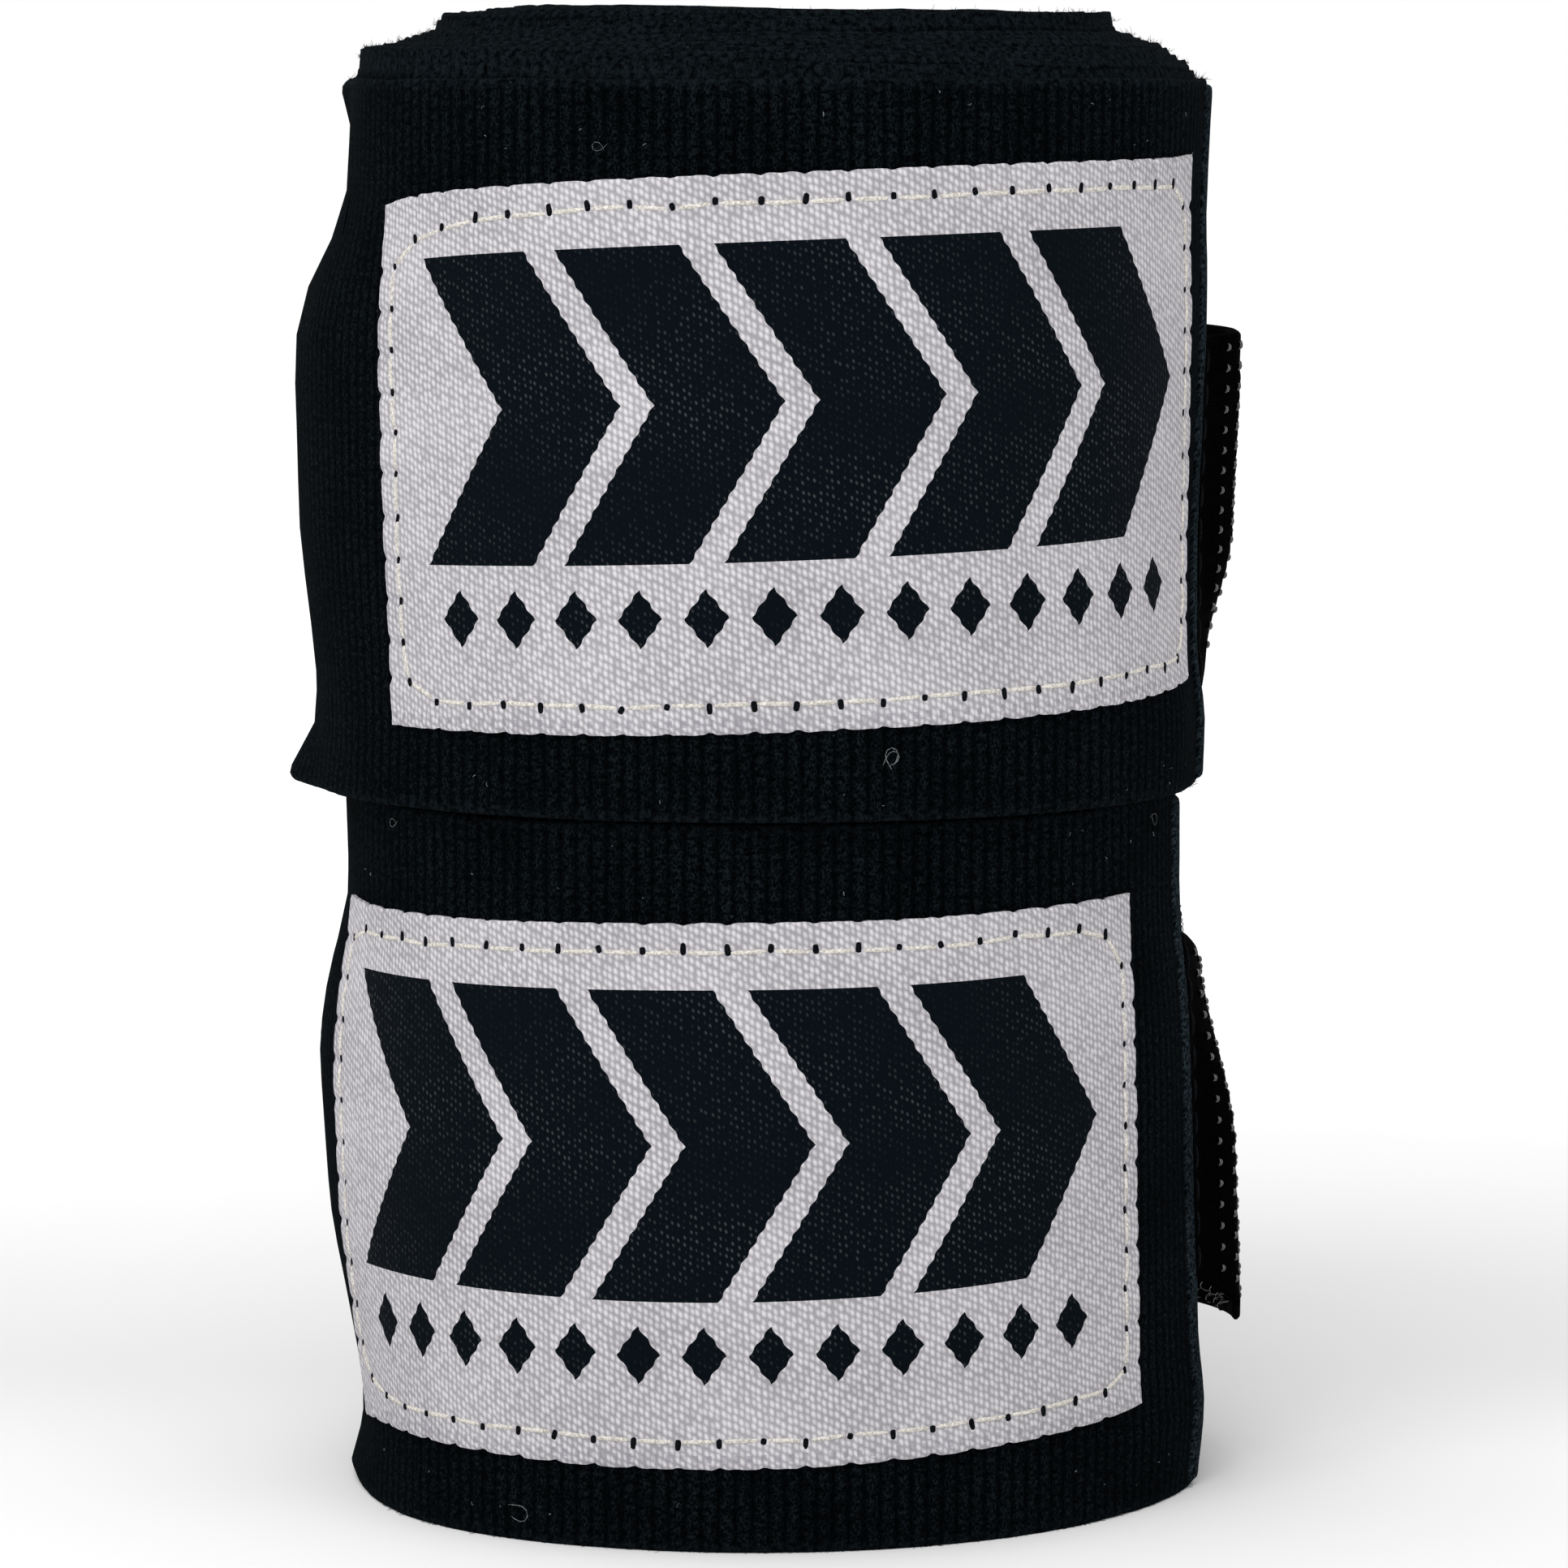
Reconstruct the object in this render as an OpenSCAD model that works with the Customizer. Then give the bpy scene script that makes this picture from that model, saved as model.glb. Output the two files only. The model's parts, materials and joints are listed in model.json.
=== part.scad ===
// A pair of hand wraps, each a long woven band rolled up around its thumb loop and stood on edge,
// one roll on the other. The front of each roll is its closing lap: the end of the band, with a
// woven label sewn on it and a hook tab that reaches round the right-hand side to a loop patch.
// Millimetres, +Z up, labels towards -Y, origin under the middle of the pair's own box.

/* [Band] */
// Width of the band, which is the height of a roll on edge
band_w = 50; // [46:1:60]
// Thickness of the band
band_t = 0.7; // [0.5:0.05:0.9]
// Room between a closing lap, or the upper roll, and what lies under it
lap_gap = 0.3; // [0.2:0.05:0.4]
// Radius of the hole left in the middle of a roll
core_r = 5; // [4.9:0.1:5.2]

/* [Lower roll] */
// Radius over the closing lap
lower_r = 31.5; // [30:0.5:33]
// Direction of the middle of the label, in degrees to the right of the front
lower_turn = -6.5; // [-12:0.5:12]
// Bare band between the label and the end of the band
lower_bare = 12; // [4:0.5:12.5]
// Height of the middle of the hook tab above the foot of its roll
lower_tab_z = 27.5; // [15:0.5:35]
// How much further out the free end of the hook tab stands
lower_flare = 1.2; // [1:0.1:1.6]
// How far the innermost tier stands above the closing lap
lower_rise = 1; // [0.5:0.1:1.2]

/* [Upper roll] */
// Radius over the closing lap
upper_r = 33; // [31:0.5:35]
// Direction of the middle of the label, in degrees to the right of the front
upper_turn = 9.5; // [-12:0.5:14]
// Bare band between the label and the end of the band
upper_bare = 8; // [3:0.5:9]
// Height of the middle of the hook tab above the foot of its roll
upper_tab_z = 19.3; // [15:0.5:35]
// How much further out the free end of the hook tab stands
upper_flare = 0.2; // [0:0.1:1.6]
// How far the turns just inside the closing lap stand above it
upper_lip = 1.6; // [0:0.1:2]
// How far the turns outside the innermost tier stand above the closing lap
upper_shoulder = 3.2; // [2:0.1:3.5]
// How far the innermost tier stands above the closing lap
upper_rise = 4.6; // [3.6:0.1:5]

/* [Label] */
// Length of the woven label round the roll
label_l = 69; // [66:1:76]
// Height of the woven label
label_h = 37.5; // [30:0.5:40]
// Thickness of the woven label
label_t = 0.35; // [0.2:0.05:0.5]
// Distance from the label's edge to its stitching
stitch_inset = 2; // [1.5:0.1:3]
// Distance from one stitch to the next
stitch_pitch = 3; // [2.8:0.1:5]

/* [Closure] */
// Free length of the hook tab
tab_l = 21; // [16:0.5:21.5]
// Height of the hook tab
tab_h = 25; // [18:0.5:26]
// Thickness of the hook tape
tape_t = 0.5; // [0.4:0.05:0.7]
// Length of the hooks on the tape
hook_l = 0.9; // [0.6:0.1:1]
// Distance from one row of hooks to the next
hook_pitch = 1.5; // [1.3:0.1:2.5]
// Thickness of the pile of the loop patch
pile_t = 0.7; // [0.4:0.1:0.8]

/* [Thumb loop] */
// Width of the thumb loop's tape
loop_h = 10; // [8:0.5:14]
// Thickness of the thumb loop's tape
loop_t = 1.1; // [0.9:0.1:1.2]

/* [Hidden] */
$fn = 96;

// One wrap: [radius, foot height, turn, bare end, tab height, tab flare, heights of lip, shoulder and tier]
flush = 0.1;
lower = [lower_r, 0, lower_turn, lower_bare, lower_tab_z, lower_flare, [flush, flush, lower_rise]];
upper = [upper_r, band_w + lap_gap, upper_turn, upper_bare, upper_tab_z, upper_flare,
    [upper_lip, upper_shoulder, upper_rise]];
function radius(w) = w[0];
function foot(w) = w[1];
function turn(w) = w[2];
function bare(w) = w[3];
function tab_z(w) = w[4];
function flare(w) = w[5];
function lip(w) = w[6][0];
function shoulder(w) = w[6][1];
function rise(w) = w[6][2];

// Lengths round the roll are angles about its axis
function sweep(w, length) = length / radius(w) * 180 / PI;
hinge_l = 3;
hem_l = 2.4;
hem_t = 0.4;
function label_start(w) = 270 + turn(w) - sweep(w, label_l / 2);
function label_end(w) = 270 + turn(w) + sweep(w, label_l / 2);
function lap_start(w) = label_start(w) - sweep(w, hinge_l);
function lap_end(w) = label_end(w) + sweep(w, bare(w));
function tab_start(w) = lap_end(w) + sweep(w, lap_gap);
function tab_end(w) = tab_start(w) + sweep(w, tab_l);

// The tape leaves the end of the band close to the roll and climbs to clear hooks and pile
root_gap = 0.4;
root_l = 3.5;
hook_gap = 0.5;
tab_stand = pile_t + hook_gap + hook_l;
tab_steps = 24;
function smooth(u) = u * u * (3 - 2 * u);
function climb(u) = smooth(min(1, u * tab_l / root_l));
function tab_in(w, u) = radius(w) + root_gap + (tab_stand - root_gap) * climb(u) + flare(w) * u * u;
function tab_point(w, u, out) =
    let (a = tab_start(w) + u * (tab_end(w) - tab_start(w)), r = tab_in(w, u) + out)
    [r * cos(a), r * sin(a)];
function tab_outline(w) = concat(
    [for (i = [0 : tab_steps]) tab_point(w, i / tab_steps, 0)],
    [for (i = [tab_steps : -1 : 0]) tab_point(w, i / tab_steps, tape_t)]
);

// The pair's own box decides where the rolls' common axis stands
thread_t = 0.2;
right_reach = max([for (w = [lower, upper]) for (p = tab_outline(w)) p[0]]);
left_reach = max(lower_r, upper_r);
front_reach = max(lower_r, upper_r) + label_t + thread_t;
back_reach = max(lower_r, upper_r);
axis_x = (left_reach - right_reach) / 2;
axis_y = (front_reach - back_reach) / 2;

band_colour = "#15191d";
label_colour = "#c6c4ca";
thread_colour = "#d8d2c2";
dark_thread_colour = "#1b1d20";
tape_colour = "#0d0c11";

// Puts a wrap's pieces on the common axis at the height of its foot
module seat(w) {
    translate([axis_x, axis_y, foot(w)]) children();
}

// A strip bent round the roll from angle a0 to a1, between heights z0 and z1
module lap(r, t, a0, a1, z0, z1) {
    rotate(a0)
        rotate_extrude(angle = a1 - a0)
            translate([r, z0])
                square([t, z1 - z0]);
}

// One stitch lying flat on a surface of radius r at angle a and height z
module stitch(r, a, z, length, upright = false) {
    across = upright ? 0.4 : length;
    tall = upright ? length : 0.4;
    rotate(a)
        translate([r, -across / 2, z - tall / 2])
            cube([thread_t, across, tall]);
}

// A rectangle of stitches round the border of a patch of radius r
module stitched_border(w, r, a0, a1, z0, z1) {
    across = round((a1 - a0) / sweep(w, stitch_pitch));
    up = round((z1 - z0) / stitch_pitch);
    for (z = [z0, z1])
        for (i = [0 : across - 1])
            stitch(r, a0 + (i + 0.5) * (a1 - a0) / across, z, 0.7 * stitch_pitch);
    for (a = [a0, a1])
        for (i = [0 : up - 1])
            stitch(r, a, z0 + (i + 0.5) * (z1 - z0) / up, 0.6 * stitch_pitch, true);
}

// The turns of the band, with the inner ones slid up out of the roll
tier_r = 22;
module band_roll(w) {
    under_r = radius(w) - band_t - lap_gap;
    foot_rise = min(rise(w), 3);
    color(band_colour) seat(w) {
        rotate_extrude()
            polygon([
                [core_r, foot_rise], [tier_r, foot_rise], [tier_r + 2, 0], [under_r, 0],
                [under_r, band_w + lip(w)], [tier_r, band_w + shoulder(w)],
                [tier_r, band_w + rise(w)], [core_r, band_w + rise(w)]
            ]);
        lap(under_r - 0.5, 0.5 + lap_gap + band_t, tab_start(w), lap_start(w) + 360 - sweep(w, lap_gap), 0, band_w);
    }
}

// The loop that goes over the thumb, folded flat in the middle of the roll
loop_w = 6.8;
loop_d = 5;
loop_z = band_w - 14;
module loop_outline(grow) {
    for (side = [-1, 1])
        translate([side * (loop_w - loop_d) / 2, 0])
            circle(r = loop_d / 2 + grow, $fn = 48);
    square([loop_w - loop_d, loop_d + 2 * grow], center = true);
}
module thumb_loop(w) {
    color(band_colour) seat(w)
        translate([0, 0, loop_z])
            linear_extrude(loop_h)
                difference() {
                    loop_outline(loop_t);
                    loop_outline(0);
                }
}

// The bar of close stitches that sews the loop to the first turn of the band
module thumb_loop_bartack(w) {
    reach = core_r - loop_d / 2 - loop_t;
    color(dark_thread_colour) seat(w)
        for (i = [0 : 5])
            translate([-0.25, -core_r + 0.05, loop_z + 1 + 1.5 * i])
                cube([0.5, reach - 0.1, 0.6]);
}

// The soft patch that the hooks hold to, on the turn under the tab
patch_h = 30;
function patch_start(w) = tab_start(w) + sweep(w, root_l);
function patch_end(w) = patch_start(w) + sweep(w, tab_l + 2);
module loop_patch(w) {
    color(tape_colour) seat(w)
        lap(radius(w), pile_t, patch_start(w), patch_end(w), tab_z(w) - patch_h / 2 + 2, tab_z(w) + patch_h / 2);
}
module loop_patch_stitching(w) {
    inset = sweep(w, 1);
    color(dark_thread_colour) seat(w)
        stitched_border(w, radius(w) + pile_t, patch_start(w) + inset, patch_end(w) - inset,
            tab_z(w) - patch_h / 2 + 3, tab_z(w) + patch_h / 2 - 1);
}

// The closing lap: the end of the band, open at its right-hand end and folding at its left
module band_tail(w) {
    color(band_colour) seat(w)
        lap(radius(w) - band_t, band_t, lap_start(w), lap_end(w), 0, band_w);
}
module end_hem(w) {
    color(band_colour) seat(w)
        lap(radius(w), hem_t, lap_end(w) - sweep(w, hem_l), lap_end(w), 0.5, band_w - 0.5);
}

// The woven label and its border of stitches
label_z = 24.7;
module woven_label(w) {
    color(label_colour) seat(w)
        lap(radius(w), label_t, label_start(w), label_end(w), label_z - label_h / 2, label_z + label_h / 2);
}
module label_stitching(w) {
    inset = sweep(w, stitch_inset);
    edge = label_h / 2 - stitch_inset;
    color(thread_colour) seat(w)
        stitched_border(w, radius(w) + label_t, label_start(w) + inset, label_end(w) - inset,
            label_z - edge, label_z + edge);
}

// Hook tape: the stitches that hold it to the hem, the tape, and its rows of hooks
module hook_tape_stitching(w) {
    rows = floor(tab_h / 2.5);
    color(dark_thread_colour) seat(w)
        for (i = [0 : rows - 1])
            stitch(radius(w) + hem_t, lap_end(w) - sweep(w, hem_l / 2),
                tab_z(w) + (i + 0.5 - rows / 2) * 2.5, 1.7, true);
}
module hook_tape(w) {
    color(tape_colour) seat(w)
        translate([0, 0, tab_z(w) - tab_h / 2])
            linear_extrude(tab_h)
                polygon(tab_outline(w));
}
module hook_field(w) {
    hook_w = 0.4;
    bury = 0.05;
    columns = floor((tab_l - root_l - 1) / hook_pitch);
    rows = floor((tab_h - 2) / hook_pitch);
    color(tape_colour) seat(w)
        for (c = [0 : columns - 1])
            for (i = [0 : rows - 1]) {
                u = (root_l + 0.6 + (c + 0.5) * hook_pitch) / tab_l;
                rotate(tab_start(w) + u * (tab_end(w) - tab_start(w)))
                    translate([tab_in(w, u) - hook_l, -hook_w / 2,
                        tab_z(w) + (i + 0.5 - rows / 2) * hook_pitch - hook_w / 2])
                        cube([hook_l + bury, hook_w, hook_w]);
            }
}

band_roll(lower);  // lower_band_roll
thumb_loop(lower);  // lower_thumb_loop
thumb_loop_bartack(lower);  // lower_thumb_loop_bartack
loop_patch(lower);  // lower_loop_patch
loop_patch_stitching(lower);  // lower_loop_patch_stitching
band_tail(lower);  // lower_band_tail
end_hem(lower);  // lower_end_hem
woven_label(lower);  // lower_woven_label
label_stitching(lower);  // lower_label_stitching
hook_tape_stitching(lower);  // lower_hook_tape_stitching
hook_tape(lower);  // lower_hook_tape
hook_field(lower);  // lower_hook_field
band_roll(upper);  // upper_band_roll
thumb_loop(upper);  // upper_thumb_loop
thumb_loop_bartack(upper);  // upper_thumb_loop_bartack
loop_patch(upper);  // upper_loop_patch
loop_patch_stitching(upper);  // upper_loop_patch_stitching
band_tail(upper);  // upper_band_tail
end_hem(upper);  // upper_end_hem
woven_label(upper);  // upper_woven_label
label_stitching(upper);  // upper_label_stitching
hook_tape_stitching(upper);  // upper_hook_tape_stitching
hook_tape(upper);  // upper_hook_tape
hook_field(upper);  // upper_hook_field
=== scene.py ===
import json
import math

import bpy
import numpy as np
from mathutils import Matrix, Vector


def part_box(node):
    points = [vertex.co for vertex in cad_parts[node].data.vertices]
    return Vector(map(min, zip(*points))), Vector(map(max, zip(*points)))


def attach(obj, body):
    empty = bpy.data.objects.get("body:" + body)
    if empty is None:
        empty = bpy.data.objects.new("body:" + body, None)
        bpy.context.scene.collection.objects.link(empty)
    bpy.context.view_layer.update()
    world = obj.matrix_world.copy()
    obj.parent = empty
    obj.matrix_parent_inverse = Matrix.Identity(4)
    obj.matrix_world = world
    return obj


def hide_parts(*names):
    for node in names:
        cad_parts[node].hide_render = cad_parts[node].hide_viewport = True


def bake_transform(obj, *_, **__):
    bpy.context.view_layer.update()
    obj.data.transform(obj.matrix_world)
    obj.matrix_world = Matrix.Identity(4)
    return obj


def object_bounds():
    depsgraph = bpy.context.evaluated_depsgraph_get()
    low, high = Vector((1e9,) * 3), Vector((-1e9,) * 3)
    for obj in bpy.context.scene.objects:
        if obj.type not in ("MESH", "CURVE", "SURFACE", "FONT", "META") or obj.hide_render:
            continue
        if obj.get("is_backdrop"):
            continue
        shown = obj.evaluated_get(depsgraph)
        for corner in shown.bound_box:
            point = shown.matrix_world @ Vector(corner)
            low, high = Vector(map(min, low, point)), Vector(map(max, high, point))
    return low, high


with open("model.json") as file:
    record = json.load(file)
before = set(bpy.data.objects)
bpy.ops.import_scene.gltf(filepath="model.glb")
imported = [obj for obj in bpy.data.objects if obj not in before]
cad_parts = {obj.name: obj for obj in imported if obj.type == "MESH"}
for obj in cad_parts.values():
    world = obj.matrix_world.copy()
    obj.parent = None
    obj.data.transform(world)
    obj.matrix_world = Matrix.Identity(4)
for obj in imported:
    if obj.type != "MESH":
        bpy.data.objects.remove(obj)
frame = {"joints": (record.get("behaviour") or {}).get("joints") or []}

# A pair of rolled hand wraps, one on the other. Each band is one long spiral strip, and everything on
# it is laid out on the strip's own surface: an angle round the roll, a height, and a radius.

CAD_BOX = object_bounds()
MM = 0.001
TURN = 2 * math.pi

BAND_LENGTH = 4.57
BAND_THICK = 0.62 * MM
BAND_ROUND = 0.45  # how far in its edges are rounded, mm
SLANT = 0.24 * MM  # half the fall across each turn's upper edge
CORE_RADIUS = 4.4 * MM
RIB_PITCH = 1.11 * MM
RIB_HEIGHT = 0.055 * MM
COLUMNS_PER_RIB = 5
COLUMNS_PER_TURN = 132
SEAM = math.radians(13)  # the closing lap starts this far before its hinge
UNDERLAP = math.radians(5)  # and the outer turn starts this far before the lap comes round
GOLDEN_ANGLE = 2.399  # spreads the turns' unevenness so that it never repeats
SIDE_ONLY = 5  # keeps the roll's uneven outline to its left and right sides
HEM_WIDTH = 2.4 * MM

LABEL_THICK = 0.3 * MM
STITCH_PITCH = 2.95 * MM
STITCH_INSET = 2.0 * MM
TAB_ROOT = -1.6 * MM  # where the tape starts under the hem, counted from its hinge
TAB_LENGTH = 21 * MM
TAB_BEND = (-0.9, 2.2)  # a stretch of the tab, mm from its hinge; the tape's seam sits at its start
TAPE_THICK = 0.5 * MM
HOOK_PITCH = 1.5 * MM
SEAM_PITCH = 2.4 * MM
TACK_STITCHES = 8
PILE_LOOPS = 1100
LINT_FIBRES = 26
LONG_FIBRES = 3
LAP_FUZZ = 1500
TURN_FUZZ = 4000
FUZZY_TURNS = 13  # how many of the turns under the lap have fuzz on their edges
CORNERS = ((1, 1), (-1, 1), (-1, -1), (1, -1))

# How each roll departs from a true cylinder, in millimetres. sides holds heights and the reach of its
# left and right sides there. tiers_left and tiers_right hold depths below the closing lap and how far
# the turns there stand above it. folds holds the angle, height, reach, angular width and height of a
# place that sticks out. label holds the slope, the extra height and the droop of the label's two ends.
# corners holds how far each corner of the label strays upwards, and bends the length and height of the
# bend in its stitching there, both from the top right corner anticlockwise. tab holds how far the hook
# tab's foot and head stand off as shares of its free height, the share of its height where the change
# from one to the other starts, how far its free end flares, how far its head and foot shift upwards, and
# the slope of the whole tab. seed starts the wrap's random draws.
SHAPES = {
    "lower": {
        "sides": ((0, 6, 10, 19, 31, 36, 42, 50),
                  (28.6, 28.2, 28.9, 30.8, 31.6, 30.9, 29.3, 29.5),
                  (31.8, 32.5, 31.9, 31.6, 31.2, 30.9, 30.1, 30.1)),
        "tiers_left": ((0, 9.2, 9.6, 27), (0, 0, 0.9, 0.9)),
        "tiers_right": ((0, 9.2, 9.6, 27), (0, 0, 0.9, 0.9)),
        "folds": ((184, 1.6, 0.9, 14, 1.6),),
        "label": (0.93, -0.1, -0.55),
        "corners": (0, 0.3, -0.6, 0.3),
        "bends": ((5, 3), (1.5, 1.5), (8, 3), (2, 2)),
        "tab": (1.1, 0.27, -0.05, 1.4, -2.4, -3.8, -0.08),
        "seed": 3,
    },
    "upper": {
        "sides": ((0, 5, 9, 18, 30, 34, 41, 50),
                  (32.2, 31.4, 31.7, 32.8, 33.1, 32.7, 29.1, 28.6),
                  (31.4, 31.7, 31.0, 31.0, 31.5, 31.6, 31.5, 31.9)),
        "tiers_left": ((0, 0.3, 0.9, 4.2, 8.3, 9.2, 16, 27), (0, 0, 2.1, 2.4, 3.4, 4.5, 5.1, 4.8)),
        "tiers_right": ((0, 0.3, 0.9, 3, 6.6, 7.2, 27), (0, 0, 0.9, 2.3, 3.4, 4.6, 4.5)),
        "folds": ((182, 0.6, 1.5, 9, 1.5), (176, 49.2, 1.1, 6, 1.1)),
        "label": (1.95, 0.4, 0.15),
        "corners": (0.3, -0.6, 0.1, 0.2),
        "bends": ((1.5, 1.5), (12, 3), (4, 3), (1.5, 1.5)),
        "tab": (0.25, 1.3, -0.6, 0.2, 0.3, 5.5, 0),
        "seed": 8,
    },
}


# ---- shape helpers

def smooth(u):
    """A soft step from 0 to 1."""
    u = np.clip(u, 0, 1)
    return u * u * (3 - 2 * u)


def eased(x, xs, ys):
    """Straight interpolation with its corners rounded over 3 mm."""
    return sum(np.interp(x + d * MM, xs, ys) for d in (-1.5, -0.5, 0.5, 1.5)) / 4


def ripple(seed, *coordinates):
    """Smooth noise from -1 to 1, with waves about one unit long in each coordinate."""
    rng = np.random.default_rng(seed)
    total = 0
    for octave in (1.0, 1.9):
        for _ in range(3):
            phase = rng.uniform(0, TURN)
            for c in coordinates:
                phase = phase + TURN * octave * rng.uniform(-1, 1) * c
            total = total + np.sin(phase) / (3 * octave)
    return total / 1.53


def rounded(depth, share):
    """The part of its full thickness that a sheet has near its edge. depth is 1 where it is full."""
    return np.sqrt(1 - (1 - np.clip(depth, 0, 1)) ** 2 * share)


def rib(s, strength=1.0):
    """The height of the band's upright ribs at distance s along it."""
    return RIB_HEIGHT * strength * (2 * np.abs(np.cos(math.pi * s / RIB_PITCH)) ** 0.8 - 1)


class Wrap:
    """One rolled wrap: the places and sizes of its pieces, read from the frame."""

    def __init__(self, name):
        self.name = name
        shape = SHAPES[name]
        loop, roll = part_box(f"{name}_thumb_loop"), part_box(f"{name}_band_roll")
        tail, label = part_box(f"{name}_band_tail"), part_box(f"{name}_woven_label")
        self.axis = (loop[0] + loop[1]) / 2
        self.foot, self.width = tail[0].z, tail[1].z - tail[0].z
        self.radius = roll[1].y - self.axis.y
        joints = {j["child"]: j for j in frame["joints"]}
        self.hinge = self.angle(joints[f"{name}_tail"]["pos_m"])
        self.tab_start = self.angle(joints[f"{name}_tab"]["pos_m"])
        self.tail_end = TURN - math.acos((tail[1].x - self.axis.x) / self.radius)
        over_label = self.radius + 0.35 * MM
        self.label_from = math.pi + math.acos(-(label[0].x - self.axis.x) / over_label)
        self.label_to = TURN - math.acos((label[1].x - self.axis.x) / over_label)
        self.label_z = ((label[0] + label[1]) / 2).z - self.foot
        self.label_height = label[1].z - label[0].z
        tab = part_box(f"{name}_hook_tape")
        self.tab_z, self.tab_height = (tab[0].z + tab[1].z) / 2 - self.foot, tab[1].z - tab[0].z
        self.stand = tab[1].x - self.axis.x - self.radius - TAPE_THICK
        self.loop = loop
        self.heights, self.left, self.right = (np.array(row) * MM for row in shape["sides"])
        self.tiers = [np.array(shape[f"tiers_{side}"]) * MM for side in ("left", "right")]
        self.folds, self.label_shape = shape["folds"], shape["label"]
        self.corners, self.bends = shape["corners"], shape["bends"]
        self.tab_shape, self.seed = shape["tab"], shape["seed"]
        outer = self.radius - BAND_THICK / 2
        self.pitch = math.pi * (outer**2 - CORE_RADIUS**2) / BAND_LENGTH
        self.start = self.hinge - TURN * (outer - CORE_RADIUS) / self.pitch

    def angle(self, place):
        """The direction of a place as seen from the roll's axis."""
        return math.atan2(place[1] - self.axis.y, place[0] - self.axis.x) % TURN

    def middle(self, turn):
        """Radius of the band's own middle surface at an angle that counts on through the turns."""
        return self.radius - BAND_THICK / 2 + self.pitch * (turn - self.hinge) / TURN

    def along(self, turn):
        """Distance along the band from the hinge, negative towards the core."""
        from_hinge = turn - self.hinge
        return from_hinge * (self.radius - BAND_THICK / 2) + self.pitch * from_hinge**2 / (2 * TURN)

    def turn_at(self, s):
        """The angle at a distance along the band from the hinge, the inverse of along."""
        a, b = self.pitch / (2 * TURN), self.radius - BAND_THICK / 2
        return self.hinge + (-b + np.sqrt(b * b + 4 * a * s)) / (2 * a)

    def lift(self, turn, out=0.0):
        """How far the band stands above its closing lap at this angle, this far out from its middle."""
        depth = np.maximum(self.radius - BAND_THICK / 2 - self.middle(turn) - out, 0)
        side = smooth((np.cos(turn) + 1) / 2)
        left, right = (np.interp(depth, *tier) for tier in self.tiers)
        rise = left * (1 - side) + right * side
        count = np.floor((turn - self.start) / TURN)
        jitter = 0.07 * MM * np.sin(count * GOLDEN_ANGLE + self.seed)
        jitter = jitter + 0.08 * MM * ripple(self.seed, turn / TURN * 2.3)
        return rise + jitter * np.clip(depth / MM, 0, 1) * np.clip(rise / MM + 0.35, 0, 1)

    def place(self, radius, turn, z):
        """Row-frame points of places on the roll, z counted from its foot."""
        side = smooth((np.cos(turn) + 1) / 2)
        left, right = (eased(z, self.heights, reach) for reach in (self.left, self.right))
        reach = left * (1 - side) + right * side
        share = np.clip(radius / self.radius, 0, 1) ** 3
        out = 0
        for degrees, height, amount, wide, tall in self.folds:
            off = (turn - math.radians(degrees) + math.pi) % TURN - math.pi
            bump = np.exp(-((off / math.radians(wide)) ** 2) - ((z / MM - height) / tall) ** 2)
            out = out + amount * MM * bump * np.clip((radius - self.radius) / MM + 1.6, 0, 1)
        squeeze = 1 + share * (reach / self.radius - 1) * np.abs(np.cos(turn)) ** SIDE_ONLY
        x = self.axis.x + (radius * squeeze + out) * np.cos(turn)
        y = self.axis.y + (radius + out) * np.sin(turn)
        return np.stack(np.broadcast_arrays(x, y, self.foot + z), axis=-1)


# ---- mesh helpers

def new_piece(name, points, faces, material, cloth=None):
    """A smooth mesh piece. cloth gives each point's place on its own flat cloth, in metres."""
    mesh = bpy.data.meshes.new(name)
    mesh.from_pydata(np.asarray(points).reshape(-1, 3).tolist(), [], faces)
    mesh.materials.append(material)
    mesh.update()
    if cloth is not None:
        layer = mesh.attributes.new("cloth", "FLOAT_VECTOR", "POINT")
        layer.data.foreach_set("vector", np.asarray(cloth, np.float32).ravel())
    mesh.shade_smooth()
    mesh.set_sharp_from_angle(angle=math.radians(50))
    piece = bpy.data.objects.new(name, mesh)
    bpy.context.scene.collection.objects.link(piece)
    return piece


def slab(name, front, back, flat, material):
    """A closed sheet from two grids of points, front and back, walled round its border."""
    n, m = front.shape[:2]
    index = np.arange(n * m).reshape(n, m)
    quads = np.stack([index[:-1, :-1], index[1:, :-1], index[1:, 1:], index[:-1, 1:]], -1).reshape(-1, 4)
    rim = np.concatenate([index[:-1, 0], index[-1, :-1], index[:0:-1, -1], index[0, :0:-1]])
    step = np.roll(rim, -1)
    wall = np.stack([step, rim, rim + n * m, step + n * m], -1)
    faces = np.concatenate([quads, quads[:, ::-1] + n * m, wall])
    cloth = np.zeros((2, n, m, 3))
    cloth[..., : flat.shape[-1]] = flat
    cloth[1, ..., 1] += np.linalg.norm(front - back, axis=-1)
    points = np.stack([front, back])
    if signed_volume(points.reshape(-1, 3), faces) < 0:
        faces = faces[:, ::-1]
    return new_piece(name, points, faces.tolist(), material, cloth)


def signed_volume(points, quads):
    """Six times the volume that the quads enclose, negative where they face inwards."""
    a, b, c, d = (points[quads[:, k]] for k in range(4))
    return float((a * np.cross(b, c)).sum() + (a * np.cross(c, d)).sum())


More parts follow.
